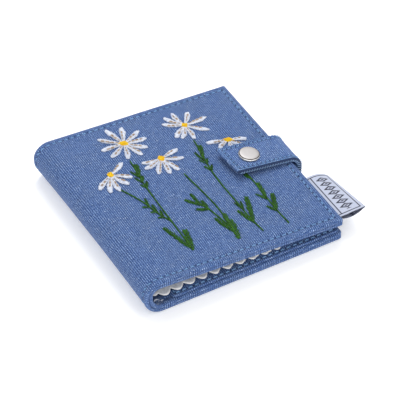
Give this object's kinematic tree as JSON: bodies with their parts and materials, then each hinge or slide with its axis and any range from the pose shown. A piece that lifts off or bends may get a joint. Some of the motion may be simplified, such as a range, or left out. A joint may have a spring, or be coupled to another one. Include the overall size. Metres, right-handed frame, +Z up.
{
  "type": "needle case",
  "caption": "Square book-style needle case in chambray with embroidered daisies, felt leaves with pinked edges, and a press-stud closing tab.",
  "frame": {"origin": "middle of the flat underside of the back cover", "axes": "+X from the spine to the fore-edge, +Y from the tail edge to the head edge, +Z up; modelled closed"},
  "size_m": [0.129, 0.1196, 0.0215],
  "materials": {
    "chambray": "mid-blue chambray, fine twill-like weave of darker and lighter threads, matt",
    "wadding": "soft white fleece wadding",
    "stiff_board": "grey stiffening board",
    "felt": "off-white wool felt, fuzzy",
    "nickel": "satin nickel plate with a brighter bevel",
    "spring_steel": "bare steel wire",
    "woven_label": "white woven ribbon with a dark woven border and motif",
    "white_thread": "white satin-stitch thread, slight sheen",
    "yellow_thread": "yellow satin-stitch thread, slight sheen",
    "green_thread": "dark green satin-stitch thread, slight sheen",
    "blue_thread": "blue topstitching thread, slight sheen"
  },
  "bodies": {
    "back_cover": {"back_cover_outer": "chambray", "back_cover_wadding": "wadding", "back_cover_board": "stiff_board", "back_cover_lining": "chambray", "back_cover_pocket": "chambray", "lower_fold_outer": "chambray", "lower_fold_wadding": "wadding", "lower_fold_lining": "chambray", "tab_root_outer": "chambray", "tab_root_lining": "chambray"},
    "spine": {"spine_outer": "chambray", "spine_wadding": "wadding", "spine_lining": "chambray", "felt_stitched_fold": "felt", "upper_fold_outer": "chambray", "upper_fold_wadding": "wadding", "upper_fold_lining": "chambray"},
    "front_cover": {"front_cover_outer": "chambray", "front_cover_wadding": "wadding", "front_cover_board": "stiff_board", "front_cover_lining": "chambray", "snap_stud": "nickel", "snap_post": "nickel", "woven_label": "woven_label", "daisy_1_petals": "white_thread", "daisy_2_petals": "white_thread", "daisy_3_petals": "white_thread", "daisy_4_petals": "white_thread", "daisy_5_petals": "white_thread", "daisy_1_eye": "yellow_thread", "daisy_2_eye": "yellow_thread", "daisy_3_eye": "yellow_thread", "daisy_4_eye": "yellow_thread", "daisy_5_eye": "yellow_thread", "stem_1": "green_thread", "stem_2": "green_thread", "stem_3": "green_thread", "stem_4": "green_thread", "stem_5": "green_thread"},
    "leaf_front": {"felt_leaf_front": "felt"},
    "leaf_back": {"felt_leaf_back": "felt"},
    "tab_riser": {"tab_riser_outer": "chambray", "tab_riser_lining": "chambray", "tab_bend_outer": "chambray", "tab_bend_lining": "chambray"},
    "tab_flap": {"tab_flap_outer": "chambray", "tab_flap_interfacing": "wadding", "tab_flap_lining": "chambray", "snap_cap": "nickel", "snap_socket": "nickel", "snap_spring": "spring_steel"}
  },
  "joints": [
    {"name": "front_cover_fold", "type": "hinge", "parent": "spine", "child": "front_cover", "pos_m": [-0.05502, 0, 0.01885], "axis": [0, -1, 0], "range_deg": [0, 92], "deforming": ["upper_fold_outer", "upper_fold_wadding", "upper_fold_lining"]},
    {"name": "spine_fold", "type": "hinge", "parent": "back_cover", "child": "spine", "pos_m": [-0.05485, 0, 0.00215], "axis": [0, -1, 0], "range_deg": [0, 90], "deforming": ["lower_fold_outer", "lower_fold_wadding", "lower_fold_lining"]},
    {"name": "front_leaf_turn", "type": "hinge", "parent": "spine", "child": "leaf_front", "pos_m": [-0.0497, 0, 0.0097], "axis": [0, -1, 0], "range_deg": [0, 86]},
    {"name": "back_leaf_turn", "type": "hinge", "parent": "spine", "child": "leaf_back", "pos_m": [-0.0497, 0, 0.0097], "axis": [0, -1, 0], "range_deg": [-88, 0]},
    {"name": "tab_root_fold", "type": "hinge", "parent": "back_cover", "child": "tab_riser", "pos_m": [0.05941, 0, 0.00309], "axis": [0, 1, 0], "range_deg": [0, 90], "deforming": ["tab_root_outer", "tab_root_lining"]},
    {"name": "tab_bend_fold", "type": "hinge", "parent": "tab_riser", "child": "tab_flap", "pos_m": [0.05948, 0, 0.01497], "axis": [0, 1, 0], "range_deg": [0, 83], "deforming": ["tab_bend_outer", "tab_bend_lining"]}
  ],
  "couplings": [
    {"joint": "spine_fold", "follows": "front_cover_fold", "ratio": 0.978},
    {"joint": "front_leaf_turn", "follows": "front_cover_fold", "ratio": 0.934},
    {"joint": "back_leaf_turn", "follows": "front_cover_fold", "ratio": -0.956}
  ]
}
